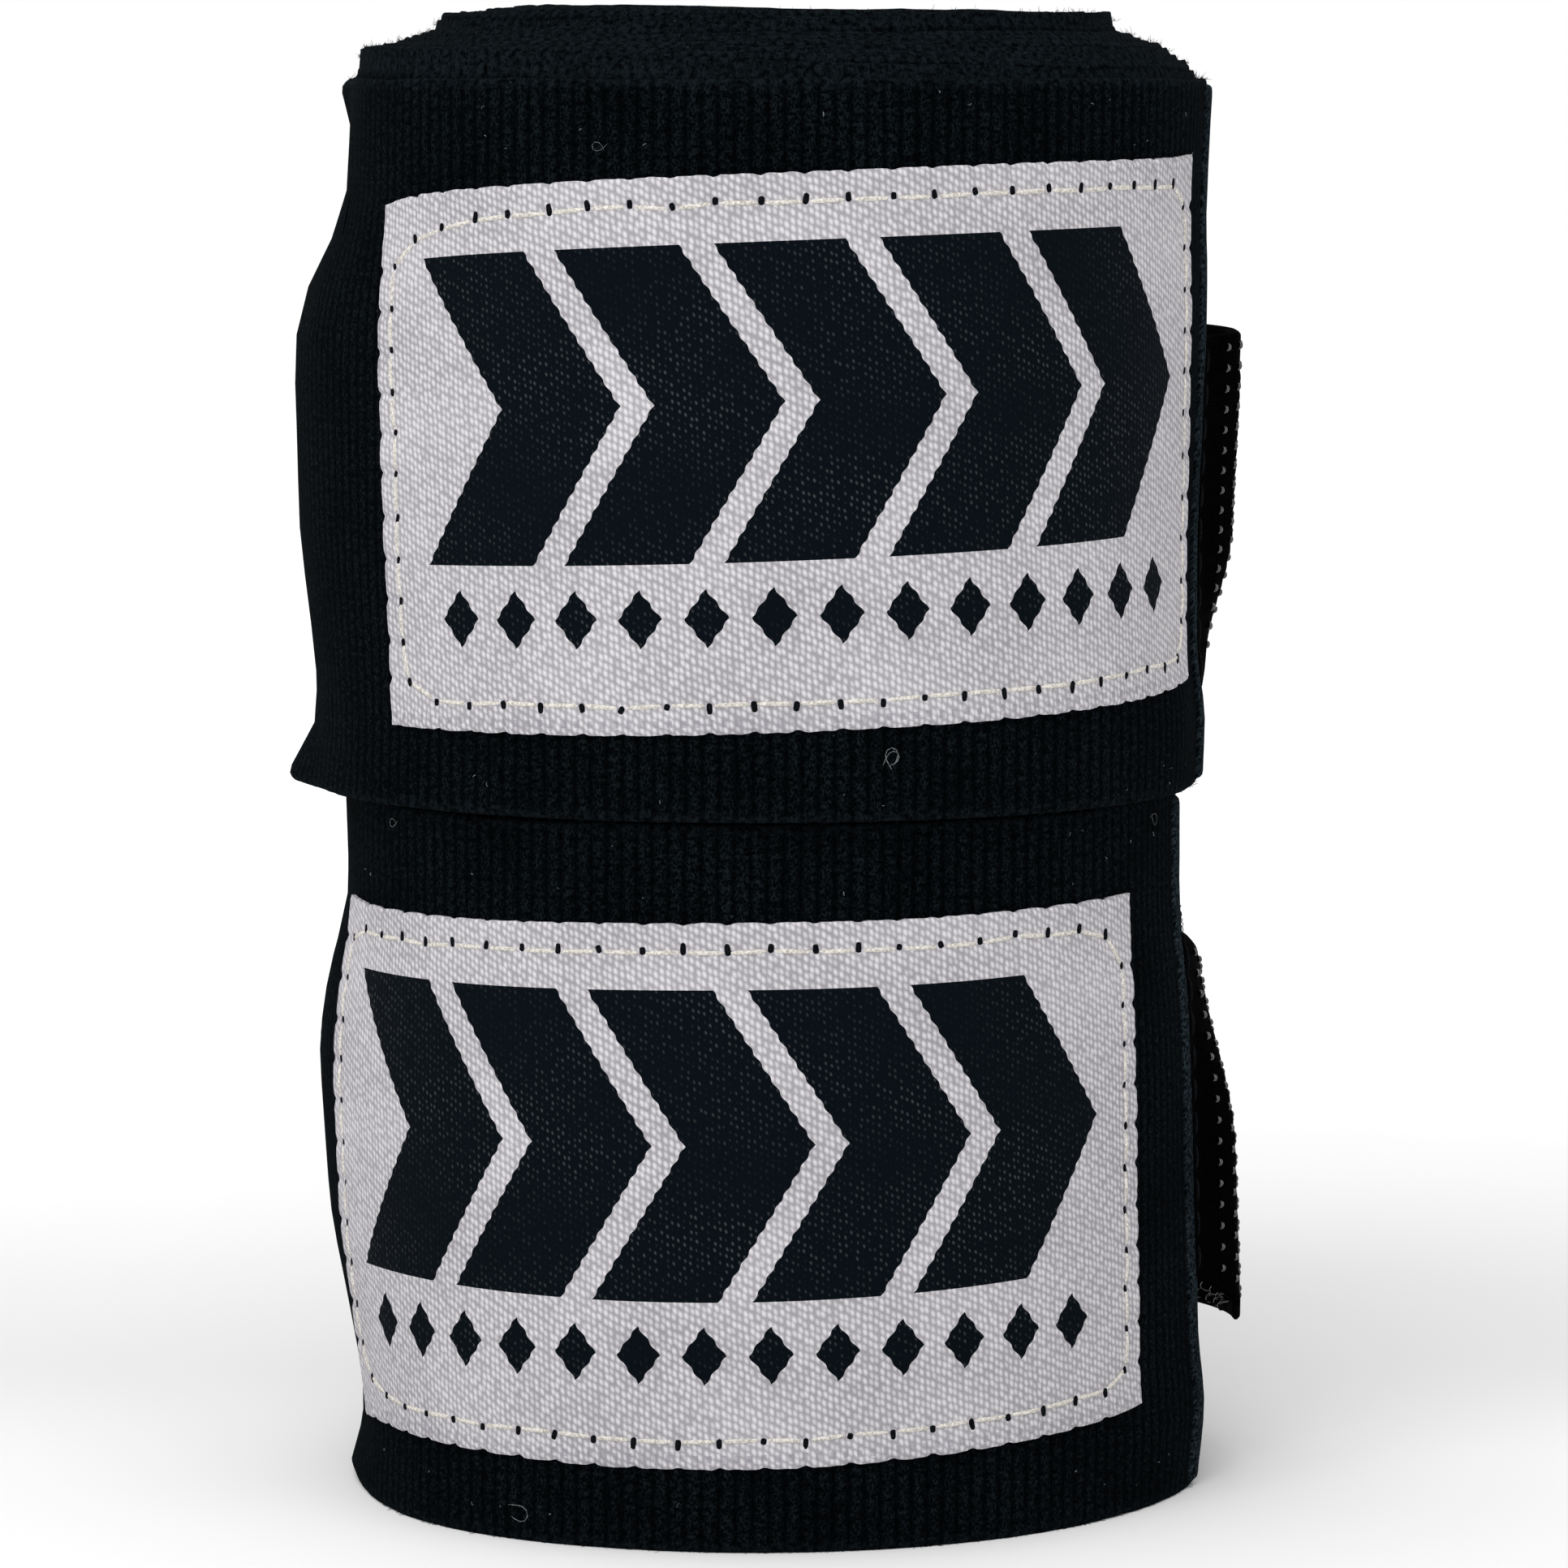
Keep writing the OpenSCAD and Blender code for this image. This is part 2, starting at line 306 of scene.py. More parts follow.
def tubes(name, paths, radius, sides, material, flatten=1.0):
    """Round threads along many paths of points, all in one piece. paths is [thread, point, xyz]."""
    paths = np.asarray(paths, float)
    count, length = paths.shape[:2]
    tangent = np.gradient(paths, axis=1)
    tangent /= np.maximum(np.linalg.norm(tangent, axis=-1, keepdims=True), 1e-12)
    chord = paths[:, -1] - paths[:, 0]
    bulge = paths[:, length // 2] - (paths[:, 0] + paths[:, -1]) / 2
    guide = np.cross(chord, bulge)
    weak = np.linalg.norm(guide, axis=-1) < 1e-12
    guide[weak] = np.cross(chord[weak], (0.3, 0.5, 0.8))
    side = guide[:, None] - (guide[:, None] * tangent).sum(-1, keepdims=True) * tangent
    side /= np.maximum(np.linalg.norm(side, axis=-1, keepdims=True), 1e-12)
    up = np.cross(tangent, side)
    thin = np.ones(length)
    thin[[0, -1]] = 0.45
    around = np.arange(sides) * TURN / sides
    across, along = np.cos(around)[:, None], flatten * np.sin(around)[:, None]
    ring = across * side[:, :, None] + along * up[:, :, None]
    radii = np.broadcast_to(np.asarray(radius, float).reshape(-1, 1), (count, length)) * thin
    points = paths[:, :, None] + ring * radii[..., None, None]
    index = np.arange(count * length * sides).reshape(count, length, sides)
    step = np.roll(index, -1, axis=2)
    quads = np.stack([index[:, :-1], step[:, :-1], step[:, 1:], index[:, 1:]], -1).reshape(-1, 4)
    caps = index[:, 0, ::-1].tolist() + index[:, -1].tolist()
    return new_piece(name, points, quads.tolist() + caps, material)


# ---- material helpers

class Shader:
    """A material's node tree, with one short call for each kind of node it uses."""

    def __init__(self, name, **sockets):
        self.material = bpy.data.materials.new(name)
        self.material.use_nodes = True
        self.tree = self.material.node_tree
        self.surface = self.tree.nodes["Principled BSDF"]
        for socket, value in sockets.items():
            self.surface.inputs[socket.replace("_", " ")].default_value = value
        cloth = self.tree.nodes.new("ShaderNodeAttribute")
        cloth.attribute_name = "cloth"
        parts = self.node("ShaderNodeSeparateXYZ", Vector=cloth.outputs["Vector"])
        self.u, self.v, self.w = (parts.outputs[axis] for axis in "XYZ")

    def node(self, kind, **inputs):
        made = self.tree.nodes.new(kind)
        for socket, value in inputs.items():
            self.feed(made.inputs[socket], value)
        return made

    def feed(self, socket, value):
        if isinstance(value, bpy.types.NodeSocket):
            self.tree.links.new(value, socket)
        else:
            socket.default_value = value

    def math(self, operation, a, b=0.0, c=0.0):
        made = self.tree.nodes.new("ShaderNodeMath")
        made.operation = operation
        for socket, value in zip(made.inputs, (a, b, c)):
            self.feed(socket, value)
        return made.outputs[0]

    def vector(self, x, y, z=0.0):
        return self.node("ShaderNodeCombineXYZ", X=x, Y=y, Z=z).outputs[0]

    def grid(self, across, along):
        """The place on the cloth, counted in cells of this size."""
        return self.vector(self.math("DIVIDE", self.u, across), self.math("DIVIDE", self.v, along))

    def both(self, *values):
        """The product of these values."""
        product = values[0]
        for value in values[1:]:
            product = self.math("MULTIPLY", product, value)
        return product

    def noise(self, vector, scale=1.0, detail=2.0, roughness=0.6):
        return self.node("ShaderNodeTexNoise", Vector=vector, Scale=scale, Detail=detail,
                         Roughness=roughness).outputs["Fac"]

    def cells(self, vector, randomness=1.0, output="Distance"):
        return self.node("ShaderNodeTexVoronoi", Vector=vector, Scale=1.0,
                         Randomness=randomness).outputs[output]

    def span(self, value, low, high, to_low=0.0, to_high=1.0, kind="LINEAR"):
        made = self.node("ShaderNodeMapRange", Value=value)
        made.interpolation_type = kind
        ends = {"From Min": low, "From Max": high, "To Min": to_low, "To Max": to_high}
        for socket, number in ends.items():
            made.inputs[socket].default_value = number
        return made.outputs["Result"]

    def mix(self, share, a, b):
        made = self.tree.nodes.new("ShaderNodeMix")
        made.data_type = "RGBA"
        for socket, value in zip((made.inputs[0], made.inputs[6], made.inputs[7]), (share, a, b)):
            self.feed(socket, (*value, 1) if isinstance(value, tuple) and len(value) == 3 else value)
        return made.outputs[2]

    def place(self):
        return self.node("ShaderNodeTexCoord").outputs["Object"]

    def length(self, vector):
        made = self.node("ShaderNodeVectorMath", Vector=vector)
        made.operation = "LENGTH"
        return made.outputs["Value"]

    def finish(self, colour, height=None, distance=0.05 * MM, roughness=None):
        self.feed(self.surface.inputs["Base Color"], colour)
        if roughness is not None:
            self.feed(self.surface.inputs["Roughness"], roughness)
        if height is not None:
            bump = self.node("ShaderNodeBump", Height=height, Distance=distance, Strength=1.0)
            self.feed(self.surface.inputs["Normal"], bump.outputs["Normal"])
        return self.material


def band_fabric(name, painted_lightness=1.0):
    """Black ribbed cloth: fuzzy yarn with painted shade in the grooves between its ribs, a painted highlight
    along its edges, and specks of lint.
    """
    s = Shader(name, Roughness=1.0, Specular_IOR_Level=0.004, Sheen_Weight=0.004, Sheen_Roughness=0.5,
               Sheen_Tint=(0.55, 0.75, 0.9, 1))
    yarn = s.noise(s.grid(0.15 * MM, 0.24 * MM), detail=3.0)
    fuzz = s.noise(s.grid(0.45 * MM, 0.45 * MM), detail=3.0)
    patches = s.noise(s.grid(7 * MM, 9 * MM), detail=2.0)
    # Painted shade: the colour is darkened in the grooves between the ribs, on top of the ribs' real relief.
    painted_rib_shade = s.math("ABSOLUTE", s.math("COSINE", s.math("MULTIPLY", s.w, math.pi / RIB_PITCH)))
    light = s.both(s.span(yarn, 0.4, 0.7), s.span(painted_rib_shade, 0.1, 0.9, 0.2, 1.0),
                   s.span(fuzz, 0.35, 0.65, 0.15, 2.0), s.span(patches, 0.3, 0.7, 0.6, 1.3))
    # Painted highlight: the cloth is painted paler along both edges of the band, where its rounded edges
    # catch the light.
    painted_edge_highlight = s.span(s.math("ABSOLUTE", s.math("SUBTRACT", s.v, 25 * MM)), 24.2 * MM, 24.9 * MM)
    light = s.math("ADD", light, s.both(painted_edge_highlight, s.span(fuzz, 0.35, 0.7, 0.0, 0.7)))
    # painted_lightness scales the whole colour; above 1 it paints a lit copy of the cloth.
    dark = tuple(c * painted_lightness for c in (0.0002, 0.0004, 0.0005))
    pale = tuple(c * painted_lightness for c in (0.0058, 0.0084, 0.0104))
    spots = s.grid(2.2 * MM, 2.2 * MM)
    speck = s.both(s.span(s.cells(spots), 0.02, 0.05, 1.0, 0.0),
                   s.math("GREATER_THAN", s.cells(spots, output="Color"), 0.5))
    colour = s.mix(s.both(speck, 0.6), s.mix(light, dark, pale), (0.03, 0.036, 0.04))
    height = s.math("ADD", s.both(yarn, 0.8), s.both(fuzz, 0.4))
    return s.finish(colour, height, 0.12 * MM)


def chevrons(s, u):
    """1 inside the row of five bold arrows that point right."""
    low, high, pitch = -7.2 * MM, 14.2 * MM, 11.0 * MM
    rise = s.math("ABSOLUTE", s.math("SUBTRACT", s.v, (low + high) / 2))
    arrow = s.math("ADD", u, s.math("MULTIPLY_ADD", rise, 0.62, -3.3 * MM))
    bar = s.math("PINGPONG", s.math("ADD", arrow, pitch / 2), pitch / 2)
    inside = s.both(s.math("LESS_THAN", s.math("ABSOLUTE", arrow), 2.5 * pitch),
                    s.math("LESS_THAN", rise, (high - low) / 2))
    return s.both(inside, s.math("GREATER_THAN", bar, 1.15 * MM))


def diamonds(s, u):
    """1 inside the row of thirteen small diamonds below the arrows."""
    pitch = 4.5 * MM
    off_row = s.math("ABSOLUTE", s.math("ADD", s.v, 10.9 * MM))
    diamond = s.math("ADD", s.math("PINGPONG", u, pitch / 2), s.both(off_row, 0.75))
    return s.both(s.math("LESS_THAN", diamond, 1.5 * MM),
                  s.math("LESS_THAN", s.math("ABSOLUTE", u), 6.5 * pitch))


def comb(s):
    """1 on the short grey woven teeth along the label's foot."""
    from_foot = s.math("ADD", s.v, 19 * MM)
    teeth = s.math("GREATER_THAN", s.math("SINE", s.both(s.u, TURN / (0.92 * MM))), 0.25)
    return s.both(teeth, s.both(s.math("LESS_THAN", from_foot, 1.25 * MM),
                                s.math("GREATER_THAN", from_foot, 0.75 * MM)))


def woven_label():
    """Silver-white satin with woven black arrows over a row of small diamonds."""
    s = Shader("woven_label", Roughness=0.6, Specular_IOR_Level=0.02, Sheen_Weight=0.01,
               Sheen_Roughness=0.4)
    column = s.math("DIVIDE", s.u, 0.4 * MM)
    row = s.math("MULTIPLY_ADD", column, 0.36, s.math("DIVIDE", s.v, 0.55 * MM))
    grain = s.cells(s.vector(column, row), randomness=0.3)
    wave = s.both(s.math("SINE", s.both(s.v, TURN / (0.95 * MM))), 0.07 * MM)
    u = s.math("ADD", s.u, wave)
    ink = s.math("MAXIMUM", chevrons(s, u), diamonds(s, u))
    soft = s.noise(s.grid(14 * MM, 8 * MM), detail=1.0)
    shade = s.math("ADD", s.span(grain, 0.12, 0.55, 1.0, 0.0), s.both(soft, 0.5))
    white = s.mix(s.span(shade, 0.15, 1.15), (0.25, 0.241, 0.258), (0.555, 0.537, 0.562))
    white = s.mix(s.both(comb(s), 0.55), white, (0.2, 0.19, 0.22))
    tick = s.both(s.span(grain, 0.08, 0.3, 1.0, 0.0), s.span(soft, 0.35, 0.65, 0.1, 1.0))
    black = s.mix(tick, (0.0016, 0.0032, 0.005), (0.04, 0.045, 0.047))
    roughness = s.math("MULTIPLY_ADD", ink, 0.25, 0.55)
    return s.finish(s.mix(ink, white, black), s.span(grain, 0.0, 0.7, 1.0, 0.0), 0.06 * MM, roughness)


def plain_thread(name, dark, light, sheen=0.005):
    """Twisted thread, its colour and surface broken up along the yarn."""
    s = Shader(name, Roughness=0.8, Specular_IOR_Level=0.02, Sheen_Weight=sheen)
    strand = s.noise(s.place(), scale=6000.0, detail=2.0)
    return s.finish(s.mix(s.span(strand, 0.35, 0.65), dark, light), strand, 0.04 * MM)


def hook_tape():
    """Black nylon tape: close cross ribs with a slight shine."""
    s = Shader("hook_tape", Roughness=0.7, Specular_IOR_Level=0.002)
    weave = s.cells(s.grid(0.35 * MM, 0.28 * MM), randomness=0.3)
    wear = s.noise(s.grid(3 * MM, 3 * MM))
    colour = s.mix(s.span(weave, 0.1, 0.6), (0.0010, 0.0010, 0.0012), (0.0002, 0.0002, 0.0003))
    return s.finish(colour, s.math("SUBTRACT", 1.0, weave), 0.08 * MM, s.span(wear, 0.3, 0.7, 0.6, 0.8))


def monofilament():
    """Clear black nylon monofilament, glossy, with fine drawn streaks."""
    s = Shader("hook_monofilament", Roughness=0.16, Specular_IOR_Level=0.8)
    streak = s.noise(s.place(), scale=2500.0, detail=1.0)
    colour = s.mix(s.span(streak, 0.3, 0.7), (0.002, 0.002, 0.003), (0.006, 0.006, 0.009))
    return s.finish(colour, streak, 0.01 * MM, s.span(streak, 0.3, 0.7, 0.1, 0.25))


def studio_floor():
    """A white table that glows faintly away from the wraps, so that it runs into the background, with a soft
    painted shadow on it behind the wraps.
    """
    s = Shader("studio_floor", Roughness=0.9, Specular_IOR_Level=0.0)
    place = s.place()
    s.surface.inputs["Emission Color"].default_value = (1, 1, 1, 1)
    s.feed(s.surface.inputs["Emission Strength"], s.span(s.length(place), 0.17, 0.42, 0.0, 0.3))
    parts = s.node("ShaderNodeSeparateXYZ", Vector=place).outputs
    # Painted shadow: the floor is darkened in a soft patch behind the wraps, where their shadow would fall.
    near = s.span(parts["Y"], -5 * MM, 45 * MM, kind="SMOOTHSTEP")
    from_painted_shadow = s.vector(s.both(parts["X"], 0.3), s.math("SUBTRACT", parts["Y"], 45 * MM))
    far = s.span(s.length(from_painted_shadow), 0.0, 125 * MM, 1.0, 0.0, kind="SMOOTHSTEP")
    shade = s.both(near, far, s.span(s.noise(place, scale=3.0), 0.3, 0.7, 0.9, 1.1))
    return s.finish(s.mix(shade, (0.78, 0.78, 0.78), (0.67, 0.67, 0.67)))


MATERIALS = {
    "band": band_fabric("band_fabric"),
    # The hem is the band's own cloth painted 3.6 times lighter, a painted highlight on the raised fold.
    "hem": band_fabric("hem_fabric_painted_lighter", 3.6),
    "label": woven_label(),
    "label_thread": plain_thread("label_thread", (0.34, 0.32, 0.29), (0.68, 0.65, 0.6)),
    "dark_thread": plain_thread("dark_thread", (0.001, 0.0014, 0.0018), (0.005, 0.006, 0.0075)),
    "fuzz": plain_thread("band_fuzz", (0.001, 0.0014, 0.0018), (0.008, 0.0105, 0.0125)),
    "pile": plain_thread("soft_loop_pile", (0.001, 0.001, 0.0014), (0.004, 0.004, 0.0055)),
    "lint": plain_thread("lint", (0.05, 0.055, 0.06), (0.2, 0.21, 0.215), sheen=0.05),
    "tape": hook_tape(),
    "hooks": monofilament(),
}


# ---- the band

def band_strip(wrap, name, turns, rows, ribbed):
    """The stretch of band over these angles, as a closed strip with rounded edges."""
    turn = turns[:, None]
    across = rows[None, :] * wrap.width
    to_edge = np.minimum(across, wrap.width - across) / MM
    half = BAND_THICK / 2 * rounded(to_edge / BAND_ROUND, 0.92)
    s = wrap.along(turn)
    ribs = s + 0.16 * MM * ripple(wrap.seed + 6, s / (9 * MM), across / (60 * MM))
    from_front = np.abs((turn - 1.6 * math.pi + math.pi) % TURN - math.pi)
    fade = 0.3 + 0.7 * smooth((1.35 - from_front) / 0.6)
    strength = ribbed * fade * (0.75 + 0.45 * ripple(wrap.seed + 5, s / (9 * MM), across / (12 * MM)))
    relief = rib(ribs, strength) * np.clip(to_edge / BAND_ROUND, 0.15, 1)
    swell = ribbed * 0.12 * MM * ripple(wrap.seed + 9, s / (17 * MM), across / (21 * MM))
    swell = swell * np.clip(to_edge / 2, 0, 1)
    waver = 0.14 * MM * ripple(wrap.seed + 2, s / (13 * MM))
    waver = waver + 0.04 * MM * ripple(wrap.seed + 4, s / (1.9 * MM))
    rim = np.clip(1 - to_edge / 2.7, 0, 1)
    middle = wrap.middle(turn) + swell
    z_front, z_back = (np.maximum(across + wrap.lift(turn, out) + waver * rim, 0.02 * MM)
                       for out in (SLANT, -SLANT))
    front = wrap.place(middle + half + relief, turn, z_front)
    back = wrap.place(middle - half, turn, z_back)
    flat = np.stack(np.broadcast_arrays(s, across, ribs), axis=-1)
    return slab(name, front, back, flat, MATERIALS["band"])


def strip_rows(wrap, inner):
    """Shares of the band's width, close together at its edges, with this many rows between them."""
    near = np.array([0, 0.08, 0.22, 0.5]) * MM / wrap.width
    return np.concatenate([near, np.linspace(0.02, 0.98, inner), 1 - near[::-1]])


def make_band(wrap):
    """The whole band: the inner turns, the outermost fixed turn, and the closing lap."""
    name = wrap.name
    first = wrap.hinge - SEAM - TURN - UNDERLAP
    turns = np.linspace(wrap.start, first, int((first - wrap.start) / TURN * COLUMNS_PER_TURN))
    inner = band_strip(wrap, f"{name}_band_turns", turns, strip_rows(wrap, 2), 0.0)
    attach(inner, f"{name}_roll")
    pieces = [inner]
    spans = [("outer_turn", first, wrap.hinge - SEAM, 15),
             ("closing_lap", wrap.hinge - SEAM, wrap.tail_end, 22)]
    for label, low, high, rows in spans:
        s = np.arange(wrap.along(low), wrap.along(high), RIB_PITCH / COLUMNS_PER_RIB)
        s = np.append(s[:-1], wrap.along(high))
        pieces.append(band_strip(wrap, f"{name}_{label}", wrap.turn_at(s), strip_rows(wrap, rows), 1.0))
    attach(pieces[1], f"{name}_roll")
    start, end = (wrap.place(np.array(wrap.radius), np.array(wrap.hinge + d), np.array(wrap.width / 2))
                  for d in (-0.75 * SEAM, 0.35 * SEAM))
    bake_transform(pieces[2], f"{name}_roll", f"{name}_tail", start=tuple(start), end=tuple(end))
    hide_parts(f"{name}_band_roll")
    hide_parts(f"{name}_band_tail")
    limits = (wrap.start, first, wrap.hinge - SEAM, wrap.tail_end)
    for piece, low, high in zip(pieces, limits, limits[1:]):
        float(wrap.along(high) - wrap.along(low))


def make_hem(wrap):
    """The folded end of the band, a soft raised strip beside the label, its cloth painted lighter as a
    highlight on the fold.
    """
    turn = np.linspace(wrap.tail_end - HEM_WIDTH / wrap.radius, wrap.tail_end, 15)[:, None]
    rows = strip_rows(wrap, 30)[None, :]
    z = 0.4 * MM + rows * (wrap.width - 0.8 * MM)
    u = (turn - turn[0]) * wrap.radius
    edge = np.minimum(rows, 1 - rows) * wrap.width / (0.4 * MM)
    crown = np.sqrt(np.clip(1 - (2 * u / HEM_WIDTH - 1) ** 2 * 0.9, 0, 1)) * rounded(edge, 1)
    base = wrap.middle(turn) + BAND_THICK / 2
    wave = 0.05 * MM * ripple(wrap.seed + 12, z / (6 * MM), u / (3 * MM))
    front = wrap.place(base + 0.42 * MM * crown + wave + 0.02 * MM, turn, z)
    back = wrap.place(base - 0.05 * MM + 0 * crown, turn, z)
    flat = np.stack(np.broadcast_arrays(wrap.along(turn), z, 0 * z), axis=-1)
    piece = slab(f"{wrap.name}_end_hem_fold", front, back, flat, MATERIALS["hem"])
    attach(piece, f"{wrap.name}_tail")
    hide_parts(f"{wrap.name}_end_hem")


# ---- the label

def rounded_path(half_u, half_v, bends, pitch):
    """Points about pitch apart round a rectangle, its corners bent over these lengths and heights."""
    corners = []
    for k, (su, sv) in enumerate(CORNERS):
        long, tall = bends[k]
        for a in np.linspace(0, math.pi / 2, 9) + k * math.pi / 2:
            corners.append((su * (half_u - long * MM) + long * MM * math.cos(a),
                            sv * (half_v - tall * MM) + tall * MM * math.sin(a)))
    corners = np.array(corners + corners[:1])
    run = np.concatenate([[0], np.cumsum(np.linalg.norm(np.diff(corners, axis=0), axis=1))])
    count = round(run[-1] / pitch)
    at = np.arange(count) * run[-1] / count
    return np.stack([np.interp(at, run, corners[:, 0]), np.interp(at, run, corners[:, 1])], axis=-1)


class LabelSheet:
    """The label's own flat coordinates u and v, and where they lie on the closing lap."""

    def __init__(self, wrap):
        self.wrap = wrap
        self.middle = (wrap.label_from + wrap.label_to) / 2
        self.half_u = (wrap.label_to - wrap.label_from) / 2 * wrap.radius
        self.half_v = wrap.label_height / 2
        rng = np.random.default_rng(wrap.seed)
        path = rounded_path(self.half_u - 0.8 * STITCH_INSET, self.half_v - STITCH_INSET,
                            wrap.bends, STITCH_PITCH)
        self.holes = path + rng.normal(0, 0.07 * MM, path.shape)

    def place(self, u, v, out):
        """Where a place on the label, this far off the closing lap, is on the roll."""
        w = self.wrap
        slope, up, droop = w.label_shape
        tilt = math.sin(math.radians(slope))
        end = (u / self.half_u) ** 2
        along = u - v * tilt
        z = w.label_z + u * tilt + v * (1 - 0.035 * end) + (up - droop * end) * MM
        for (su, sv), stray in zip(CORNERS, w.corners):
            near = (self.half_u - su * u) / (3 * MM) + (self.half_v - sv * v) / (9 * MM)
            z = z + stray * MM * np.exp(-np.maximum(near, 0))
        turn = self.middle + along / w.radius
        return w.place(w.middle(turn) + BAND_THICK / 2 + RIB_HEIGHT + out, turn, z)

    def bow(self, u, v):
        """How far the label's upper and lower edges stray from straight."""
        return 0.35 * MM * ripple(self.wrap.seed + 24, u / (60 * MM)) * v / self.half_v

    def pucker(self, u, v):
        """Dimples at the needle holes and creases running from them to the label's edge, from 0 to 1."""
        dimple = np.zeros(np.broadcast_shapes(u.shape, v.shape))
        crease = dimple.copy()
        for hu, hv in self.holes:
            off_u, off_v = u - hu, v - hv
            hole = np.exp(-((off_u / (0.34 * MM)) ** 2) - (off_v / (0.42 * MM)) ** 2)
            dimple = np.maximum(dimple, hole)
            line, beyond = off_v, off_u * np.sign(hu)
            if self.half_v - abs(hv) < self.half_u - abs(hu):
                line, beyond = off_u, off_v * np.sign(hv)
            fold = np.exp(-((line / (0.3 * MM)) ** 2)) * smooth((beyond + 0.2 * MM) / (0.4 * MM))
            crease = np.maximum(crease, fold)
        return dimple, crease


def label_cloth(wrap, sheet):
    """The label itself: slightly wavy satin, drawn in at its needle holes, with soft uneven edges."""
    u = np.linspace(-sheet.half_u, sheet.half_u, 262)[:, None]
    v = np.linspace(-sheet.half_v, sheet.half_v, 134)[None, :]
    to_edge = np.minimum(sheet.half_u - np.abs(u), sheet.half_v - np.abs(v))
    dimple, crease = sheet.pucker(u, v)
    out = 0.12 * MM + 0.05 * MM * ripple(wrap.seed + 20, u / (16 * MM), v / (12 * MM))
    curl = 0.6 + 0.6 * ripple(wrap.seed + 21, u / (5 * MM), v / (5 * MM))
    out = out + 0.16 * MM * np.exp(-to_edge / (0.8 * MM)) * curl * (1 - 0.8 * crease)
    round_off = LABEL_THICK * (1 - rounded(to_edge / (0.25 * MM), 0.8))
    edge_u = np.clip(np.abs(u) / sheet.half_u * 20 - 19, 0, 1) * np.sign(u)
    edge_v = np.clip(np.abs(v) / sheet.half_v * 12 - 11, 0, 1) * np.sign(v)
    fray_u = (0.09 * ripple(wrap.seed + 22, v / (1.1 * MM)) - 0.12 * crease) * MM * edge_u
    fray_v = (0.06 * ripple(wrap.seed + 23, u / (1.4 * MM)) - 0.14 * crease) * MM * edge_v
    where = (u + fray_u, v + fray_v + sheet.bow(u, v))
    front = sheet.place(*where, out + LABEL_THICK - round_off - 0.14 * MM * dimple - 0.08 * MM * crease)
    back = sheet.place(*where, out * 0.4 + 0 * round_off)
    flat = np.stack(np.broadcast_arrays(u, v), axis=-1)
    return slab(f"{wrap.name}_label", front, back, flat, MATERIALS["label"])


def label_thread(wrap, sheet):
    """Arched stitches from each needle hole to the next."""
    stitches = []
    t = np.linspace(0, 1, 9)
    arch = 0.2 * MM * np.sin(math.pi * t) ** 0.55 - 0.09 * MM
    for a, b in zip(sheet.holes, np.roll(sheet.holes, -1, axis=0)):
        at = a + (b - a) * (0.07 + 0.86 * t)[:, None]
        lifted = at[:, 1] + sheet.bow(at[:, 0], at[:, 1])
        stitches.append(sheet.place(at[:, 0], lifted, LABEL_THICK + 0.03 * MM + arch))
    return tubes(f"{wrap.name}_label_thread", stitches, 0.16 * MM, 8, MATERIALS["label_thread"],
                 flatten=0.8)


def label_hole_shadows(wrap, sheet):
    """Painted shade: small dark tufts of the band's black yarn at each needle hole, standing in for the
    shadow in the holes.
    """
    hole_shadows = []
    rng = np.random.default_rng(wrap.seed + 30)
    t = np.linspace(-1, 1, 7)
    for hu, hv in sheet.holes:
        tall, lean = rng.uniform(0.22, 0.5) * MM, rng.normal(0, 0.07 * MM)
        at = hv + tall * t + 0.5 * tall * np.sign(hv) + sheet.bow(hu, hv)
        hole_shadows.append(sheet.place(hu + lean * t, at, LABEL_THICK - 0.02 * MM - 0.04 * MM * t * t))
    return tubes(f"{wrap.name}_label_tufts", hole_shadows, 0.23 * MM, 8, MATERIALS["dark_thread"], flatten=0.5)


def make_label(wrap):
    """The woven label with its thread and the dark tufts of painted shade in its needle holes."""
    sheet = LabelSheet(wrap)
    name = wrap.name
    cloth = label_cloth(wrap, sheet)
    thread = label_thread(wrap, sheet)
    hole_shadows = label_hole_shadows(wrap, sheet)
    for made, slot in ((cloth, "woven_label"), (thread, "label_thread"), (hole_shadows, "dark_thread")):
        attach(made, f"{name}_tail")
    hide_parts(f"{name}_woven_label")
    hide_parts(f"{name}_label_stitching")


# ---- hook tab and loop patch

class TabSheet:
    """The hook tab's own coordinates: u from its root to its free end, v up from its middle."""

    def __init__(self, wrap):
        self.wrap = wrap
        self.base = wrap.middle(wrap.tail_end) + BAND_THICK / 2

    def stand(self, u, v):
        """How far the tape's inner face stands off the roll."""
        w = self.wrap
        foot, head, start, flare = w.tab_shape[:4]
        share = foot + (head - foot) * smooth((v / w.tab_height - start) / 0.5)
        free = np.clip(u / TAB_LENGTH, 0, 1) ** 2
        return (w.stand * smooth((u + 1.2 * MM) / (5 * MM)) + flare * MM * free) * share

    def place(self, u, v, out):
        """Where a place on the tape, this far out from its inner face, is beside the roll."""
        w = self.wrap
        head, foot, slope = w.tab_shape[4:]
        shift = (head + (foot - head) * (0.5 - v / w.tab_height) ** 2) * MM
        z = w.tab_z + v + shift * smooth((u - TAB_ROOT) / (9 * MM)) + slope * (u - TAB_ROOT)
        settle = smooth(u / (6 * MM))
        radius = self.base * (1 - settle) + w.radius * settle
        return w.place(radius + self.stand(u, v) + out, w.tab_start + u / w.radius, z)


